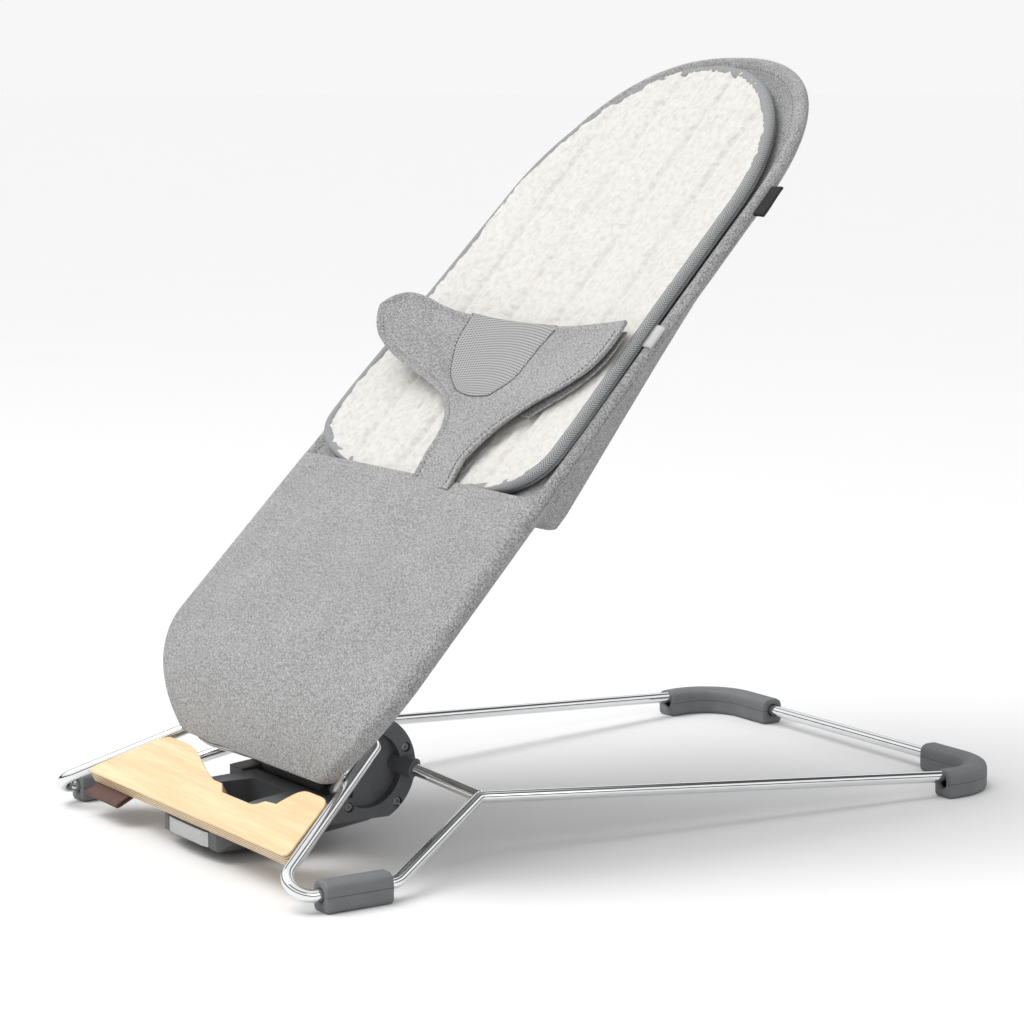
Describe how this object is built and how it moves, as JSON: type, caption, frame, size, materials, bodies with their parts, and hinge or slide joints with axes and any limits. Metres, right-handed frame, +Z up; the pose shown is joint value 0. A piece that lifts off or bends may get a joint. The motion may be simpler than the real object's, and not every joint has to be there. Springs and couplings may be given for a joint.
{
  "type": "bouncer seat",
  "caption": "Folding bouncer seat: a chromed wire base with rubber feet, a plywood footboard, a hub with a release button, and a fabric seat with a liner and a harness bib.",
  "frame": {"origin": "centre of the overall bounding box on the floor", "axes": "+Z up, -Y towards the footboard (front), +Y towards the rear bar, +X towards the sitter's left-hand side"},
  "size_m": [0.438, 0.7226, 0.6293],
  "materials": {
    "chromed_rod": "mirror-bright chrome plate",
    "foot_rubber": "matt moulded rubber",
    "hub_plastic": "fine-textured moulding",
    "button_plastic": "satin moulding",
    "steel": "plain",
    "birch_ply": "clear satin lacquer",
    "tab_leather": "smooth",
    "knit": "melange knit",
    "fleece": "short pile",
    "webbing": "woven tape",
    "label": "woven tape"
  },
  "bodies": {
    "base": {"leg_wire_right": "chromed_rod", "leg_wire_left": "chromed_rod", "side_wire_right": "chromed_rod", "side_wire_left": "chromed_rod", "arm_wire_right": "chromed_rod", "arm_wire_left": "chromed_rod", "rear_wire": "chromed_rod", "front_foot_right": "foot_rubber", "front_foot_left": "foot_rubber", "rear_foot_right": "foot_rubber", "rear_foot_left": "foot_rubber", "hub_body": "hub_plastic", "hub_cheek_right": "hub_plastic", "hub_cheek_left": "hub_plastic", "cheek_screw_1_right": "steel", "cheek_screw_1_left": "steel", "cheek_screw_2_right": "steel", "cheek_screw_2_left": "steel", "cheek_screw_3_right": "steel", "cheek_screw_3_left": "steel", "pivot_axle": "steel", "footboard": "birch_ply", "leather_tab": "tab_leather"},
    "button": {"release_button": "button_plastic"},
    "seat_mount": {"seat_clamp": "hub_plastic"},
    "seat": {"loop_yoke_right": "chromed_rod", "loop_yoke_left": "chromed_rod", "loop_rail_right": "chromed_rod", "loop_rail_left": "chromed_rod", "loop_arch": "chromed_rod", "sling": "knit", "pocket_panel": "knit", "liner_pad": "fleece", "harness_strap_right": "webbing", "harness_strap_left": "webbing", "edge_label": "label"},
    "harness": {"harness_bib": "knit"}
  },
  "joints": [
    {"name": "button_press", "type": "slide", "parent": "base", "child": "button", "axis": [0, 1, 0], "range_m": [0, 0.003], "stiffness_N_per_m": 600, "springref_m": -0.002},
    {"name": "seat_fold", "type": "hinge", "parent": "base", "child": "seat_mount", "pos_m": [0, -0.2193, 0.0683], "axis": [1, 0, 0], "range_deg": [-48, 0]},
    {"name": "seat_bounce", "type": "hinge", "parent": "seat_mount", "child": "seat", "pos_m": [0, -0.2352, 0.0532], "axis": [1, 0, 0], "range_deg": [-4, 4], "stiffness_Nm_per_rad": 300, "springref_deg": 0.56},
    {"name": "harness_open", "type": "hinge", "parent": "seat", "child": "harness", "pos_m": [0, -0.1173, 0.302], "axis": [1, 0, 0], "range_deg": [0, 150]}
  ]
}
